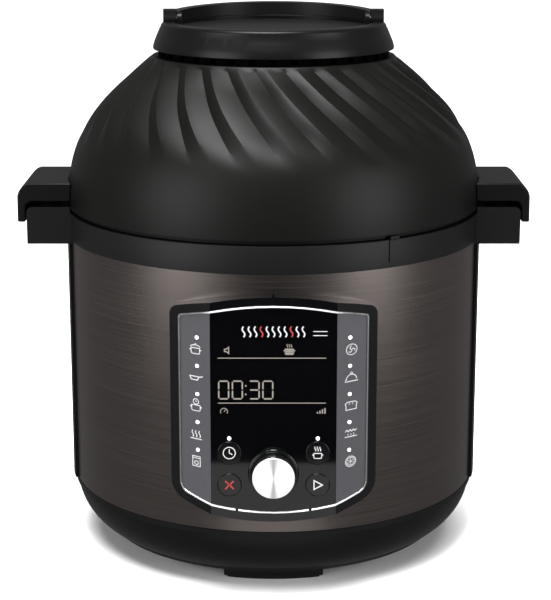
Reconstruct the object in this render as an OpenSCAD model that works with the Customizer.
// Electric multi cooker with its air-frying lid fitted.
// The origin is on the pot's axis, level with the underside of the feet. The control panel faces -Y.

/* [Casing] */
// Outer radius of the steel casing
casing_r = 151; // [150:0.5:152]
// Sheet thickness of the steel casing
casing_t = 0.8; // [0.6:0.1:1]
// Height of the casing's lower edge
casing_z0 = 47.5; // [46:0.5:49]
// Height of the casing's upper edge
casing_z1 = 230; // [229:0.5:231]
// Half angle covered by each black side trim
trim_a = 14; // [12:0.5:15]

/* [Base] */
// Height of the feet
foot_h = 8; // [6:0.5:9]
// Half angle covered by each foot
foot_a = 17; // [12:1:20]
// Outer radius of the bottom cover
cover_r = 126; // [124:0.5:127]
// Outer radius of the ring of feet
foot_r = 122; // [118:0.5:123]
// Wall thickness of the mouldings
wall = 3; // [2.5:0.1:3.5]

/* [Collar] */
// Outer radius of the collar round the pot's mouth
collar_r = 152; // [151.5:0.5:153]
// Height of the collar's flat top
collar_z = 249.5; // [249:0.5:250]
// Half width of the side lugs, front to back
lug_w = 38; // [34:1:40]
// Distance of a collar lug's end from the axis
lug_x = 179.5; // [176:0.5:180]
// Height of a collar lug's flat top
lug_z = 254.4; // [252:0.2:255]

/* [Pot] */
// Outer radius of the inner pot
pot_r = 120; // [118:0.5:121]
// Wall thickness of the inner pot
pot_t = 1.2; // [1:0.1:1.5]
// Height of the pot's rim above the feet
pot_z1 = 246; // [245:0.5:246.5]

/* [Panel] */
// Half width of the control panel's frame
panel_w = 70.5; // [68:0.5:72]
// Distance of the flat display window from the axis
panel_y = 160; // [159:0.5:161]
// Half width of the flat display window
lens_w = 42.5; // [41:0.5:44]
// Angle at which the key strips fall back from the window
strip_a = 35; // [30:1:38]
// Width of the frame outside the bright line
frame_w = 6; // [5:0.5:7]

/* [Dial and buttons] */
// Height of the dial's axis
dial_z = 94; // [93:0.5:96]
// Radius of the dial
dial_r = 14.4; // [13:0.2:14.6]
// Width of the black ring round the dial
dial_ring_w = 2.4; // [1.8:0.2:2.6]
// Radius of the round buttons
button_r = 8; // [7:0.2:8]
// Sideways distance of the buttons from the dial's axis
button_x = 30; // [29:0.5:31]

/* [Lid] */
// Outer radius of the dome where it meets the base
dome_r = 152; // [151:0.5:152]
// Height of the dome's lower edge
dome_z0 = 253; // [252.5:0.5:254]
// Radius of the dome's upper edge
neck_r = 89; // [86:0.5:90]
// Height of the dome's upper edge
neck_z = 361; // [359:0.5:362]
// Radius of the cap's lower edge
cap_r = 88; // [86:0.5:88]
// Height of the cap's lower edge
cap_z0 = 366.2; // [365:0.2:367]
// Height of the cap's front rim
cap_z = 385.2; // [384:0.2:386]
// Distance of a lid lug's end from the axis
lid_lug_x = 186; // [184:0.5:187]

/* [Handle] */
// Height of the carry handle's pivot axis
pivot_z = 387; // [386.5:0.5:387.5]
// Inner radius of the half-round handle
bail_r0 = 72.6; // [72.4:0.1:73]
// Outer radius of the half-round handle
bail_r1 = 80.4; // [79:0.1:81]
// Slope of the handle's top face, rising to the rear
bail_a = 2.9; // [2:0.1:3]

/* [Hidden] */
$fn = 96;
eps = 0.01;
far = 400;
fit = 0.05;

// Colours of the finishes
satin_black = "#1c1c1d";
soft_black = "#262627";
gloss_black = "#08080a";
black_steel = "#4a4543";
steel = "#b9bcc0";
key_grey = "#4b4a50";
silver = "#dcdcde";
board_green = "#1f5a3a";

// Levels inside the base
screw_r = 117;
housing_r = 124;
housing_z0 = 50;
flange_z = 233;
element_r = 74;
sensor_z = 40;
plate_z1 = 62;
pot_z0 = 62.2;
pot_rim_r = 126;
rim_r = 128;
groove_r = 136;
lip_t = 3.3;
trim_r = casing_r + 2.4;
lug_drop = 2.7;
casing_in = casing_r - casing_t;
lip_r = casing_in - 0.4;

// Levels of the panel, measured back from its front face
fall = tan(strip_a);
lens_t = 2;
line_w = 1.2;
board_y = 151.6;
button_ys = [108.3, 85.4];
strip_light_x = 51.5;
light_zs = [for (i = [0:4]) 108.4 + 19.8 * i];
light_r = 1.2;

// Rear sockets and condensation cup
inlet_z = 76;
socket_z = 108;
pad_y = 156;
cup_w = 24.4;
cup_y1 = 172;
cup_z0 = 150;
cup_z1 = 210;

// Levels inside the lid
shield_r = 113;
shield_z = 299;
motor_z = 310;
shaft_r = 3;
cover_z0 = 240;
lid_flange_z = dome_z0;

function arc_pts(x, y, r, a0, a1, n) =
    [for (i = [0:n]) [x + r * cos(a0 + (a1 - a0) * i / n), y + r * sin(a0 + (a1 - a0) * i / n)]];
function bezier(p, t) =
    pow(1 - t, 3) * p[0] + 3 * t * pow(1 - t, 2) * p[1] + 3 * t * t * (1 - t) * p[2] + pow(t, 3) * p[3];
function bezier_pts(p, n) = [for (i = [0:n]) bezier(p, i / n)];

// A plain ring, and a stretch of one from angle a0 to angle a1
module ring(r_out, r_in, z0, z1) {
    translate([0, 0, z0]) difference() {
        cylinder(r = r_out, h = z1 - z0);
        translate([0, 0, -1]) cylinder(r = r_in, h = z1 - z0 + 2);
    }
}
module ring_arc(r_in, r_out, a0, a1, z0, z1) {
    translate([0, 0, z0]) rotate([0, 0, a0]) rotate_extrude(angle = a1 - a0)
        translate([r_in, 0]) square([r_out - r_in, z1 - z0]);
}
// A box from its low corner to its high corner
module box(low, high) {
    translate(low) cube(high - low);
}
// A cylinder along Y from y0 to y1
module y_rod(r, x, z, y0, y1) {
    translate([x, y1, z]) rotate([90, 0, 0]) cylinder(r = r, h = y1 - y0);
}
// A flat outline in X and Z, given thickness along Y from y0 to y1
module y_plate(y0, y1) {
    translate([0, y1, 0]) rotate([90, 0, 0]) linear_extrude(y1 - y0) children();
}
module both_sides() {
    children();
    rotate([0, 0, 180]) children();
}
module turned(count, start = 0) {
    for (i = [0:count - 1]) rotate([0, 0, start + 360 * i / count]) children();
}

// ---- Base ----

module foot_pads() {
    tread = 1.5;
    width = 20;
    color(soft_black) turned(4, -90) union() {
        ring_arc(foot_r - width, foot_r, -foot_a, foot_a, tread - eps, foot_h);
        ring_arc(foot_r - width + 1.5, foot_r - 1.5, -foot_a + 1, foot_a - 1, 0, tread);
    }
}

module bottom_cover() {
    thick = 3;
    color("#303133") difference() {
        union() {
            translate([0, 0, foot_h]) cylinder(r = cover_r, h = thick);
            for (x = [-40, 40], y = [-30, 30])
                translate([x, y, foot_h + thick - eps]) cylinder(r = 4, h = 9);
        }
        for (r = [40, 60, 80]) turned(12)
            ring_arc(r, r + 6, -9, 9, foot_h - 1, foot_h + thick + 1);
        turned(4, 45) translate([screw_r, 0, foot_h - 1]) cylinder(r = 2.2, h = thick + 2);
        turned(4, 45) translate([screw_r, 0, foot_h - 1]) cylinder(r = 4.2, h = 3);
    }
}

module base_skirt() {
    bottom = foot_h + 4;
    bowl_r = 42;
    band_z = 43.8;
    floor_r = 112;
    bowl = [casing_r - 0.6 - bowl_r, band_z + 4.2];
    color(satin_black) difference() {
        union() {
            rotate_extrude() polygon(concat(
                [[floor_r, bottom - 1], [cover_r + 2.4, bottom - 1]],
                arc_pts(bowl[0], bowl[1], bowl_r, -58, -6, 12),
                [[casing_r + 0.4, band_z], [casing_r + 0.4, casing_z0], [lip_r, casing_z0],
                 [lip_r, casing_z0 + 7], [lip_r - lip_t, casing_z0 + 7], [lip_r - lip_t, band_z]],
                arc_pts(bowl[0], bowl[1], bowl_r - wall, -8, -54, 12),
                [[floor_r, bottom + 3]]));
            turned(4, 45) translate([screw_r, 0, bottom + 2]) cylinder(r = 5, h = 12);
        }
        turned(4, 45) translate([screw_r, 0, bottom - 2]) cylinder(r = 1.95, h = 14);
    }
}

module base_screws() {
    color(steel) turned(4, 45) translate([screw_r, 0, 0]) difference() {
        union() {
            translate([0, 0, foot_h + 0.2]) cylinder(r = 4, h = 1.7);
            translate([0, 0, foot_h + 1.8]) cylinder(r = 1.9, h = 12);
        }
        for (a = [0, 90]) rotate([0, 0, a]) translate([-2.2, -0.5, foot_h]) cube([4.4, 1, 1]);
    }
}

module casing(a0) {
    corner = 5;
    half = 90 - trim_a;
    difference() {
        ring_arc(casing_in, casing_r, a0 - half, a0 + half, casing_z0, casing_z1);
        for (s = [-1, 1]) rotate([0, 0, a0 + s * half])
            translate([casing_r - 3, -s * corner, casing_z1 - corner]) rotate([0, 90, 0]) difference() {
                translate([-2 * corner, s > 0 ? 0 : -2 * corner, 0]) cube([2 * corner, 2 * corner, 6]);
                translate([0, 0, -1]) cylinder(r = corner, h = 8);
            }
    }
}

module front_casing() {
    color(black_steel) difference() {
        casing(-90);
        box([-46, -far, 70], [46, -100, 206]);
    }
}

module rear_casing() {
    color(black_steel) difference() {
        casing(90);
        box([-25, 100, 62], [25, far, 126]);
    }
}

module side_trims() {
    color(satin_black) both_sides() union() {
        ring_arc(147, lip_r + eps, -trim_a - 3, trim_a + 3, casing_z0 + 8, casing_z1 - 5.6);
        ring_arc(lip_r, trim_r, -trim_a + 0.1, trim_a - 0.1, casing_z0 + 0.1, casing_z1 - 5.7);
        ring_arc(lip_r + 0.4, trim_r, -trim_a + 0.1, trim_a - 0.1, casing_z1 - 6, casing_z1 - lug_drop - 0.3);
    }
}

// One side lug of the collar: an open-bottomed grip with a slot for the lid's fin
module collar_lug() {
    corner = 4;
    root_x = 145;
    bottom = casing_z1 - lug_drop;
    difference() {
        y_plate(-lug_w, lug_w) polygon(concat(
            [[root_x, bottom], [lug_x, bottom]],
            arc_pts(lug_x - corner, lug_z - corner, corner, 0, 90, 6), [[root_x, lug_z]]));
        box([154, -lug_w + wall, bottom - 1], [lug_x - wall, lug_w - wall, lug_z - wall - 1]);
        box([159, -13, bottom], [165, 13, lug_z + 1]);
        translate([0, 0, collar_z]) cylinder(r = dome_r + 0.6, h = 20);
        translate([0, 0, bottom - 1]) cylinder(r = lip_r, h = 40);
        translate([0, 0, bottom - 1]) cylinder(r = casing_r + 0.1, h = casing_z1 + 1.2 - bottom);
    }
}

module top_collar() {
    index_a = -59;
    color("#2b2b2c") difference() {
        union() {
            rotate_extrude() polygon([
                [collar_r, casing_z1 + 0.2], [collar_r, collar_z - 1.2], [collar_r - 0.4, collar_z - 0.3],
                [collar_r - 1.2, collar_z], [groove_r, collar_z], [groove_r, flange_z + 3],
                [rim_r + 0.5, flange_z + 3], [rim_r + 0.5, flange_z], [groove_r + wall, flange_z],
                [groove_r + wall, collar_z - wall], [lip_r - lip_t, collar_z - wall],
                [lip_r - lip_t, casing_z1 - 5], [lip_r, casing_z1 - 5], [lip_r, casing_z1 + 0.2]]);
            both_sides() collar_lug();
            ring_arc(collar_r - 2.6, collar_r, index_a + 0.5, index_a + 3.2, collar_z - eps, collar_z + 2.2);
        }
        rotate([0, 0, index_a]) box([collar_r - 0.8, -0.6, casing_z1 + 4], [collar_r + 2, 0.6, collar_z + 3]);
    }
}

// Steel lip round the pot's mouth; its flange is the floor of the condensation groove
module steel_rim() {
    color(steel) rotate_extrude() polygon([
        [rim_r - 1, flange_z + 3], [groove_r - 0.2, flange_z + 3], [groove_r - 0.2, flange_z + 4],
        [rim_r, flange_z + 4], [rim_r, collar_z - 1], [rim_r - 1, collar_z - 1]]);
}

module heat_housing() {
    inner = housing_r - 1;
    color("#9b9da0") rotate_extrude() polygon([
        [92, housing_z0], [housing_r, housing_z0], [housing_r, flange_z - 1], [groove_r + 2, flange_z - 1],
        [groove_r + 2, flange_z], [inner, flange_z], [inner, housing_z0 + 1], [92, housing_z0 + 1]]);
}

module heating_plate() {
    color("#a3a6a8") difference() {
        rotate_extrude() polygon([
            [14, 52], [88, 52], [90, housing_z0 + 1], [100, housing_z0 + 1], [100, plate_z1 - 1],
            [98, plate_z1], [14, plate_z1]]);
        ring(element_r + 4, element_r - 4, 51, 56);
    }
}

module heating_element() {
    tube = 3.6;
    color("#6d6a66") union() {
        translate([0, 0, 52.2]) rotate([0, 0, 20]) rotate_extrude(angle = 320)
            translate([element_r, 0]) circle(r = tube, $fn = 32);
        for (a = [20, 340]) rotate([0, 0, a])
            translate([element_r, 0, 42]) cylinder(r = 3, h = 10, $fn = 32);
    }
}

module sensor_bracket() {
    color(steel) difference() {
        union() {
            box([-97, -11, sensor_z - 1.5], [97, 11, sensor_z]);
            for (s = [-1, 1]) box([s * 97 - (s > 0 ? 1.5 : 0), -11, sensor_z - 1.5],
                                  [s * 97 + (s > 0 ? 0 : 1.5), 11, housing_z0]);
        }
        translate([0, 0, sensor_z - 5]) cylinder(r = 6 + fit, h = 10);
    }
}

// Cap and stem of the pot-temperature sensor
module sensor_plunger() {
    color(steel) difference() {
        union() {
            translate([0, 0, 58]) cylinder(r = 13, h = 3.9);
            translate([0, 0, 34]) cylinder(r = 6, h = 24 + eps);
        }
        translate([0, 0, 33]) cylinder(r = 3, h = 22);
    }
}

// Coil spring between the bracket and the sensor's cap
module sensor_spring() {
    turns = 5;
    steps = 16;
    coil_r = 8.4;
    wire = 0.7;
    low = sensor_z + wire + 0.05;
    pitch = (58 - sensor_z - 2 * wire - 0.1) / turns;
    sides = 6;
    rings = turns * steps;
    points = [for (i = [0:rings]) for (j = [0:sides - 1])
        let (a = 360 * i / steps, b = 360 * j / sides, r = coil_r + wire * cos(b))
        [r * cos(a), r * sin(a), low + pitch * i / steps + wire * sin(b)]];
    skin = [for (i = [0:rings - 1]) for (j = [0:sides - 1])
        let (k = (j + 1) % sides)
        each [[i * sides + j, (i + 1) * sides + k, (i + 1) * sides + j],
              [i * sides + j, i * sides + k, (i + 1) * sides + k]]];
    ends = [[for (j = [0:sides - 1]) sides - 1 - j], [for (j = [0:sides - 1]) rings * sides + j]];
    outward = concat([for (f = skin) [f[0], f[2], f[1]]],
                     [for (f = ends) [for (k = [len(f) - 1:-1:0]) f[k]]]);
    color(steel) polyhedron(points, outward);
}

// Power board with its transformer, relay, capacitors and heat sink
module power_board() {
    z = foot_h + 12;
    color(board_green) union() {
        box([-50, -40, z], [50, 40, z + 1.6]);
        box([-44, -34, z + 1.5], [-20, -8, z + 15]);
        box([-12, -32, z + 1.5], [6, -16, z + 14]);
        box([14, -34, z + 1.5], [42, -30, z + 15]);
        for (x = [-34, -20]) translate([x, 22, z + 1.5]) cylinder(r = 5, h = 13);
        box([0, 12, z + 1.5], [30, 30, z + 9]);
    }
}

module inner_pot() {
    inner = pot_r - pot_t;
    floor_t = 3;
    edge = 9;
    color(steel) rotate_extrude() polygon(concat(
        [[0, pot_z0], [pot_r - edge, pot_z0]],
        arc_pts(pot_r - edge, pot_z0 + edge, edge, -80, 0, 6),
        [[pot_r, pot_z1 - 2.4], [pot_rim_r - 0.8, pot_z1 - 2.4], [pot_rim_r, pot_z1 - 1.6],
         [pot_rim_r, pot_z1 - 0.8], [pot_rim_r - 0.8, pot_z1], [inner + 1, pot_z1], [inner, pot_z1 - 1]],
        arc_pts(pot_r - edge, pot_z0 + floor_t + edge - pot_t, edge - pot_t, 0, -90, 6),
        [[0, pot_z0 + floor_t]]));
}

// ---- Control panel ----

// Outline of the panel as seen from the front, moved inwards by inset
function panel_pts(inset) =
    let (w = panel_w - inset, top_c = -22, top_r = 239 - inset, low_c = 232, low_r = 173 - inset,
         rt = max(2.4, 7 - inset), rb = max(7, 14 - inset),
         zt = top_c + sqrt(pow(top_r - rt, 2) - pow(w - rt, 2)), at = atan2(zt - top_c, w - rt),
         zb = low_c - sqrt(pow(low_r - rb, 2) - pow(w - rb, 2)), ab = atan2(zb - low_c, w - rb))
    concat(arc_pts(w - rt, zt, rt, 0, at, 5), arc_pts(0, top_c, top_r, at, 180 - at, 12),
           arc_pts(rt - w, zt, rt, 180 - at, 180, 5), arc_pts(rb - w, zb, rb, 180, 180 - ab, 5),
           arc_pts(0, low_c, low_r, 180 - ab, 360 + ab, 12), arc_pts(w - rb, zb, rb, 360 + ab, 360, 5));

// Plan of the panel: a flat window with a strip falling back on each side, from depth d0 to depth d1
module panel_slab(d0, d1) {
    back = (panel_w + 10 - lens_w) * fall;
    x = panel_w + 10;
    translate([0, 0, 30]) linear_extrude(220) polygon([
        [-x, back - panel_y + d0], [-lens_w, d0 - panel_y], [lens_w, d0 - panel_y],
        [x, back - panel_y + d0], [x, back - panel_y + d1], [lens_w, d1 - panel_y],
        [-lens_w, d1 - panel_y], [-x, back - panel_y + d1]]);
}
module panel_piece(inset, d0, d1) {
    intersection() {
        y_plate(-panel_y - 6, -100) polygon(panel_pts(inset));
        panel_slab(d0, d1);
    }
}

module control_bezel() {
    proud = 0.6;
    color(gloss_black) difference() {
        intersection() {
            union() {
                y_plate(-panel_y - 6, -120) polygon(panel_pts(0));
                y_plate(-panel_y - 6, -120) polygon([[-2.6, 214], [2.6, 214], [0, 220.4]]);
            }
            panel_slab(-proud, 40);
        }
        translate([0, 0, 20]) cylinder(r = casing_r + 0.1, h = 240);
        y_plate(-panel_y - 6, -panel_y + lens_t) intersection() {
            polygon(panel_pts(frame_w - 0.05));
            translate([-lens_w, 0]) square([2 * lens_w, 300]);
        }
        panel_piece(frame_w - 0.05, -4, lens_t + 0.05);
        y_plate(-panel_y, -100) intersection() {
            polygon(panel_pts(frame_w + 4));
            translate([-lens_w + 2, 0]) square([2 * lens_w - 4, 300]);
        }
        for (s = [-1, 1], z = light_zs) y_rod(light_r + 0.1, s * strip_light_x, z, -170, -149);
    }
}

// Bright line round the keys, cut through at two places below the window
module chrome_trim() {
    gap_x = 25;
    color("#e8e8ea") difference() {
        panel_piece(frame_w, -0.9, lens_t);
        panel_piece(frame_w + line_w, -4, 10);
        for (s = [-1, 1]) box([s * gap_x - 0.8, -far, 50], [s * gap_x + 0.8, 0, 90]);
    }
}

module display_lens() {
    color("#0b0b0e") difference() {
        intersection() {
            panel_piece(frame_w + line_w + 0.05, 0, lens_t);
            box([-lens_w + 0.1, -far, 0], [lens_w - 0.1, 0, 300]);
        }
        y_rod(dial_r + 0.5 + dial_ring_w, 0, dial_z, -170, -150);
        for (s = [-1, 1], z = button_ys) y_rod(button_r + 0.3, s * button_x, z, -170, -150);
        for (s = [-1, 1]) y_rod(light_r + 0.05, s * button_x, 118.6, -170, -150);
    }
}

module key_strip(s) {
    color(key_grey) difference() {
        intersection() {
            panel_piece(frame_w + line_w + 0.05, 0, lens_t);
            box([s > 0 ? lens_w + 0.1 : -far, -far, 0], [s > 0 ? far : -lens_w - 0.1, 0, 300]);
        }
        for (z = light_zs) y_rod(light_r + 0.05, s * strip_light_x, z, -170, -140);
    }
}
module left_key_strip() key_strip(-1);
module right_key_strip() key_strip(1);

// Light pipes: five in each strip and one above each upper button
module indicator_lights() {
    strip_face = panel_y - (strip_light_x - lens_w) * fall;
    color("white") union() {
        for (s = [-1, 1], z = light_zs) y_rod(light_r, s * strip_light_x, z, -strip_face, -strip_face + 4);
        for (s = [-1, 1]) y_rod(light_r, s * button_x, 118.6, -panel_y - 0.1, -panel_y + 5);
    }
}

module control_board() {
    color(board_green) union() {
        box([-39, -board_y, 74], [39, -board_y + 1.6, 201]);
        for (s = [-1, 1], z = button_ys) y_rod(3, s * button_x, z, -154, -board_y + eps);
        for (z = [125, 132]) box([-30, -154, z], [-12, -board_y + eps, z + 4]);
    }
}

module display_module() {
    color("#15181c") union() {
        box([-38, -157.6, 140], [38, -155, 198]);
        box([-36, -155 - eps, 142], [36, -board_y, 196]);
    }
}

// Rotary encoder with its bushing; the shaft runs in it and presses the plunger behind
module dial_encoder() {
    color("#8f9296") difference() {
        union() {
            y_rod(8.5, 0, dial_z, -157.5, -board_y);
            y_rod(5, 0, dial_z, -160, -157.5 + eps);
        }
        y_rod(3 + fit, 0, dial_z, -170, -153.6);
        y_rod(2 + fit, 0, dial_z, -156, -board_y - 0.4);
    }
}
module dial_plunger() color(steel) y_rod(2, 0, dial_z, -154.9, -153.2);
module dial_shaft() color(steel) y_rod(3, 0, dial_z, -169, -155);

module dial_knob() {
    color("#c9cacc") difference() {
        y_rod(dial_r, 0, dial_z, -171, -162);
        y_rod(3.02, 0, dial_z, -169.05, -150);
        y_rod(dial_r - 2.5, 0, dial_z, -164, -160);
    }
}
module dial_cap() {
    color(silver) translate([0, -171, dial_z]) rotate([90, 0, 0]) rotate_extrude()
        polygon([[0, 0], [dial_r, 0], [dial_r, 0.5], [dial_r - 0.5, 1], [0, 1]]);
}
module dial_ring() {
    outer = dial_r + 0.4 + dial_ring_w;
    color(gloss_black) translate([0, -panel_y + lens_t, dial_z]) rotate([90, 0, 0]) rotate_extrude()
        polygon([[dial_r + 0.4, 0], [outer, 0], [outer, 3.6], [outer - 0.6, 4.2], [dial_r + 1, 4.2],
                 [dial_r + 0.4, 3.4]]);
}

module round_button(x, z, finish) {
    color(finish) union() {
        y_rod(button_r, x, z, -panel_y - 0.2, -157.2);
        y_rod(button_r + 0.9, x, z, -157.6, -156.6);
        y_rod(2.5, x, z, -156.6 - eps, -154.8);
    }
}
module delay_button() round_button(-button_x, button_ys[0], "#141416");
module keep_warm_button() round_button(button_x, button_ys[0], "#141416");
module cancel_button() round_button(-button_x, button_ys[1], "#1a1012");
module start_button() round_button(button_x, button_ys[1], "#141416");

// ---- Rear sockets and condensation collector ----

module rear_socket_panel() {
    color(satin_black) difference() {
        y_plate(140, pad_y) hull() for (x = [-24, 24], z = [62, 126])
            translate([x, z]) circle(r = 6, $fn = 32);
        translate([0, 0, 40]) cylinder(r = casing_r + 0.1, h = 110);
        box([-18, 130, inlet_z - 13], [18, 170, inlet_z + 13]);
        y_rod(15.6, 0, socket_z, 130, 170);
    }
}

// Appliance inlet with three blades in a shaped recess
module mains_inlet() {
    blade = [2, 13, 4];
    color("#111112") difference() {
        box([-17.9, 129, inlet_z - 12.9], [17.9, pad_y - 1, inlet_z + 12.9]);
        box([-12.5, pad_y - 17, inlet_z - 8.5], [12.5, pad_y + 1, inlet_z + 8.5]);
    }
    color(silver) for (p = [[-7, -2], [0, 2.5], [7, -2]])
        translate([p[0] - blade[0] / 2, pad_y - 17 - eps, inlet_z + p[1] - blade[2] / 2]) cube(blade);
}

// Six-pin socket that feeds the lid
module lid_socket() {
    color("#111112") difference() {
        y_rod(15.5, 0, socket_z, 130, pad_y - 0.5);
        y_rod(12.5, 0, socket_z, pad_y - 15, pad_y + 1);
    }
    color(silver) for (i = [0:5])
        y_rod(1.4, 7.5 * cos(60 * i), socket_z + 7.5 * sin(60 * i), pad_y - 15 - eps, pad_y - 4);
}

module collector_bracket() {
    rail = 30.5;
    color(satin_black) difference() {
        union() {
            box([-rail, 140, cup_z1 + 3.5], [rail, 170, cup_z1 + 7.5]);
            for (s = [-1, 1]) {
                box([s > 0 ? 27.5 : -rail, 140, cup_z1 - 6], [s > 0 ? rail : -27.5, 170, cup_z1 + 3.6]);
                box([s > 0 ? 24.9 : -27.6, 140, cup_z1 - 6], [s > 0 ? 27.6 : -24.9, 170, cup_z1 - 2.4]);
            }
            translate([0, 160, cup_z1 + 1.5]) cylinder(r = 3.5, h = 3);
        }
        translate([0, 0, cup_z1 - 20]) cylinder(r = casing_r + 0.1, h = 60);
        translate([0, 160, cup_z1]) cylinder(r = 2, h = 10);
    }
}
module collector_cup() {
    thin = 1.5;
    color("#c9d2d6", 0.6) difference() {
        union() {
            box([-cup_w, 152.5, cup_z0], [cup_w, cup_y1, cup_z1]);
            box([-27.1, 152.5, cup_z1 - 2], [27.1, 170, cup_z1]);
        }
        box([-cup_w + thin, 152.5 + thin, cup_z0 + thin], [cup_w - thin, cup_y1 - thin, cup_z1 + 1]);
    }
}

// ---- Air-frying lid ----

dome_curve = [[dome_r, dome_z0], [dome_r + 1, dome_z0 + 55], [neck_r + 36.3, neck_z - 30.5],
              [neck_r, neck_z]];
dome_inner = [[dome_r - wall, dome_z0], [dome_r - 2, dome_z0 + 53], [neck_r + 33.6, neck_z - 32.8],
              [neck_r - 2.2, neck_z - 2.6]];
module dome_solid(gap) {
    rotate_extrude() polygon(concat(
        [[0, dome_z0 - 1], [dome_r + gap, dome_z0 - 1]],
        [for (p = bezier_pts(dome_curve, 18)) p + [gap, 0]], [[0, neck_z]]));
}

module lid_dome() {
    outer = bezier_pts(dome_curve, 18);
    inner = bezier_pts(dome_inner, 18);
    color(satin_black) difference() {
        rotate_extrude() polygon(concat(
            outer, [[77, neck_z], [77, neck_z - 2.6]], [for (i = [18:-1:0]) inner[i]]));
        y_rod(6.1, 0, 270, 140, 160);
    }
}

module lid_rim() {
    color("#161617") rotate_extrude() polygon([
        [134, collar_z + 0.3], [148, collar_z + 0.3], [148, lid_flange_z], [148.6, lid_flange_z + 0.2],
        [148.6, lid_flange_z + 6], [143, lid_flange_z + 6], [143, lid_flange_z], [130.5, lid_flange_z],
        [130.5, 240], [134, 240]]);
}

// Lugs that close over the base's grips, each with a fin that drops into the grip's slot
module lid_lug() {
    top = 272;
    under = 258.8;
    lip = 243.5;
    lip_x = lug_x + 0.7;
    round_r = 12;
    difference() {
        union() {
            difference() {
                y_plate(-lug_w - 0.5, lug_w + 0.5) polygon(concat(
                    [[140, under], [lip_x - 5, under]],
                    arc_pts(lip_x - 5, under - 5, 5, 90, 0, 4),
                    [[lip_x, lip], [lid_lug_x, lip]],
                    arc_pts(lid_lug_x - round_r, top - round_r * sin(72), round_r, 10, 72, 6),
                    [[140, top]]));
                box([155, -lug_w + 2.5, under - 8], [174, lug_w - 2.5, top - wall]);
            }
            box([160, -12, 240], [164, 12, top - wall + eps]);
        }
        dome_solid(0.1);
        translate([0, 0, dome_z0 - 30]) cylinder(r = dome_r + 0.1, h = 31);
    }
}
module lid_lugs() color("#232324") both_sides() lid_lug();

// Slotted neck that lets the hot air out under the cap
module vent_ring() {
    color("#0c0c0d") difference() {
        ring(84, 78, neck_z, cap_z0);
        turned(36) box([70, -2.5, neck_z + 1], [90, 2.5, cap_z0 - 1.1]);
    }
}

module lid_cap() {
    slope = [[cap_r, cap_z0], [cap_r, cap_z0 + 1.7], [cap_r - 1.2, cap_z0 + 5.7], [cap_r - 5.6, 382.2]];
    notch_w = 9;
    ear_x = 66.6;
    bore = 2.02;
    color("#222223") difference() {
        union() {
            rotate_extrude() polygon(concat(slope,
                arc_pts(cap_r - 8.6, cap_z - 3, 3, 10, 90, 5),
                [[72.4, cap_z], [72.4, 379], [65, 379], [65, 376.4], [79, 376.4], [84, cap_z0]]));
            for (s = [-1, 1]) {
                box([s > 0 ? ear_x : -70.2, -4.5, 378], [s > 0 ? 70.2 : -ear_x, 4.5, pivot_z]);
                translate([s > 0 ? ear_x : -70.2, 0, pivot_z]) rotate([0, 90, 0])
                    cylinder(r = 4.5, h = 70.2 - ear_x);
            }
        }
        // The rear rim is lower, and open at the pivots, to take the handle
        difference() {
            box([-far, -2, 383.8], [far, far, 386]);
            cylinder(r = 71, h = far);
        }
        for (s = [-1, 1])
            box([s > 0 ? 70.3 : -95, -notch_w, 380.8], [s > 0 ? 95 : -70.3, notch_w, far]);
        for (s = [-1, 1])
            translate([s * 60 - 12, 0, pivot_z]) rotate([0, 90, 0]) cylinder(r = bore, h = 24);
        // Finger scoop under the back of the handle
        ring_arc(77.5, 95, 65, 115, 377.5, 386);
    }
}

module cap_disc() {
    color("#272728") translate([0, 0, 379]) difference() {
        cylinder(r = 72.3, h = 2);
        for (s = [-1, 1]) box([s > 0 ? 66.5 : -80, -4.6, -1], [s > 0 ? 80 : -66.5, 4.6, 3]);
    }
}

module handle_pins() {
    color(steel) for (s = [-1, 1]) translate([s > 0 ? 66.8 : -79, 0, pivot_z])
        rotate([0, 90, 0]) cylinder(r = 2, h = 12.2);
}

// Half-round carry handle with a thumb block at each pivot
module lid_handle() {
    block_x = 70.5;
    block_w = 9.7;
    half = 4.2;
    under = 384.1;
    rib_h = 0.6;
    color("#1f1f20") difference() {
        union() {
            difference() {
                ring_arc(bail_r0, bail_r1, 1, 179, under, 400);
                translate([0, 0, pivot_z + 2.8]) rotate([bail_a, 0, 0])
                    translate([-100, -50, 0]) cube([200, 200, 40]);
            }
            for (s = [-1, 1]) translate([s > 0 ? block_x : -block_x - block_w, 0, pivot_z])
                rotate([0, 90, 0]) linear_extrude(block_w) polygon(concat(
                    [[-6.4, half], [-7, half - 1], [-7, 1 - half], [-6.4, -half]],
                    arc_pts(0, 0, 5, 235, 360, 7), arc_pts(0, 0, 5, 0, 125, 7)));
        }
        for (s = [-1, 1])
            translate([s * 70 - 10.2, 0, pivot_z]) rotate([0, 90, 0]) cylinder(r = 2 + fit, h = 20.4);
        for (s = [-1, 1], y = [-2.6, 0, 2.6])
            box([s > 0 ? block_x + 1.2 : -block_x - block_w + 1.2, y - 0.4, pivot_z + 7 - rib_h],
                [s > 0 ? block_x + block_w - 1.2 : -block_x - 1.2, y + 0.4, pivot_z + 8]);
    }
}

// Pressed steel bowl that keeps the heat under the lid
module heat_shield() {
    inner = shield_r - 1;
    color(steel) difference() {
        rotate_extrude() polygon([
            [inner, lid_flange_z], [138, lid_flange_z], [138, lid_flange_z + 1], [shield_r, lid_flange_z + 1],
            [shield_r, shield_z - 4], [shield_r - 4, shield_z], [8, shield_z], [8, shield_z - 1],
            [inner - 4, shield_z - 1], [inner, shield_z - 5]]);
        turned(4, 45) translate([119, 0, lid_flange_z - 1]) cylinder(r = 2.05, h = 4);
    }
}

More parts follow.
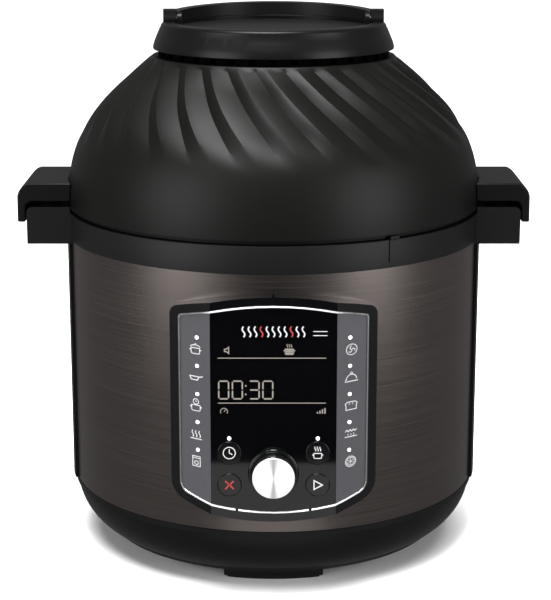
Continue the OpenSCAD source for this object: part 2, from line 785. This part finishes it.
module element_cover() {
    rows = [1:5];
    color("#a9acaf") difference() {
        rotate_extrude() polygon([
            [0, cover_z0], [106, cover_z0], [109, cover_z0 + 3], [109, lid_flange_z - 1],
            [128, lid_flange_z - 1], [128, lid_flange_z], [108, lid_flange_z], [108, cover_z0 + 3.4],
            [105.6, cover_z0 + 1], [0, cover_z0 + 1]]);
        for (k = rows) turned(6 * k, 7 * k)
            translate([18 * k, 0, cover_z0 - 1]) cylinder(r = 4.4, h = 3);
        turned(4, 45) translate([119, 0, lid_flange_z - 3]) cylinder(r = 2.05, h = 4);
    }
}

module lid_screws() {
    color(steel) turned(4, 45) translate([119, 0, 0]) union() {
        translate([0, 0, lid_flange_z - 3]) cylinder(r = 3.8, h = 2);
        translate([0, 0, lid_flange_z - 1.01]) cylinder(r = 2, h = 6);
    }
}

// Two rings of sheathed element joined by a bridge, on three hangers
module lid_element() {
    level = 262;
    tube = 3.2;
    color("#5f5c59") union() {
        for (r = [68, 92])
            translate([0, 0, level]) rotate_extrude() translate([r, 0]) circle(r = tube, $fn = 32);
        for (a = [90, 210, 330]) rotate([0, 0, a]) box([66, -2, level - 1.5], [94, 2, level + 1.5]);
        for (a = [90, 210, 330]) rotate([0, 0, a]) box([79, -2, level + 1], [82, 2, shield_z - 1]);
    }
}

module lid_thermostat() {
    color("#d8d2c4") rotate([0, 0, 60]) translate([84, 0, shield_z]) union() {
        cylinder(r = 8, h = 8);
        box([-12, -3, 0], [12, 3, 1.5]);
    }
}

module motor_bracket() {
    color(steel) difference() {
        union() {
            translate([0, 0, motor_z - 3]) cylinder(r = 46, h = 3);
            turned(3, 30) translate([40, 0, shield_z]) cylinder(r = 5, h = motor_z - shield_z - 3 + eps);
        }
        translate([0, 0, motor_z - 4]) cylinder(r = 10, h = 5);
    }
}
module lid_motor() {
    color("#8b8e92") difference() {
        union() {
            translate([0, 0, motor_z]) cylinder(r = 27, h = 24);
            translate([0, 0, motor_z + 24 - eps]) cylinder(r = 8, h = 3);
        }
        translate([0, 0, motor_z - 1]) cylinder(r = shaft_r + fit, h = 40);
    }
}
module motor_shaft() color(steel) translate([0, 0, 270]) cylinder(r = shaft_r, h = 81);

// Radial fan with its blades on a back plate
module fan(r, hub, z, h, count, sweep) {
    difference() {
        union() {
            translate([0, 0, z]) cylinder(r = hub, h = h);
            translate([0, 0, z + h - 1.2]) cylinder(r = r, h = 1.2);
            turned(count) rotate([0, 0, sweep]) translate([0, hub * 0.4, 0])
                box([hub * 0.6, -0.7, z], [r * 0.95, 0.7, z + h - 1]);
        }
        translate([0, 0, z - 1]) cylinder(r = shaft_r + 0.02, h = h + 2);
    }
}
module hot_fan() color("#9da0a3") fan(52, 9, 273, 20, 10, 12);
module cooling_fan() color("#3a3b3d") fan(44, 9, 339, 11, 12, -12);

module lid_cord_gland() {
    color("#101011") difference() {
        union() {
            y_rod(6, 0, 270, 145, 152);
            y_rod(9, 0, 270, 152.2, 158);
            y_rod(6, 0, 270, 151, 153);
        }
        y_rod(3.6, 0, 270, 140, 160);
    }
}

foot_pads();
bottom_cover();
base_skirt();
front_casing();
rear_casing();
side_trims();
top_collar();
steel_rim();
heat_housing();
heating_plate();
heating_element();
sensor_bracket();
sensor_spring();
sensor_plunger();
power_board();
base_screws();
inner_pot();
control_bezel();
chrome_trim();
display_lens();
left_key_strip();
right_key_strip();
indicator_lights();
control_board();
display_module();
dial_encoder();
dial_plunger();
dial_shaft();
dial_knob();
dial_cap();
dial_ring();
delay_button();
keep_warm_button();
cancel_button();
start_button();
rear_socket_panel();
mains_inlet();
lid_socket();
collector_bracket();
collector_cup();
lid_rim();
lid_dome();
lid_lugs();
vent_ring();
lid_cap();
cap_disc();
handle_pins();
lid_handle();
heat_shield();
lid_element();
element_cover();
lid_thermostat();
motor_bracket();
lid_motor();
motor_shaft();
hot_fan();
cooling_fan();
lid_cord_gland();
lid_screws();
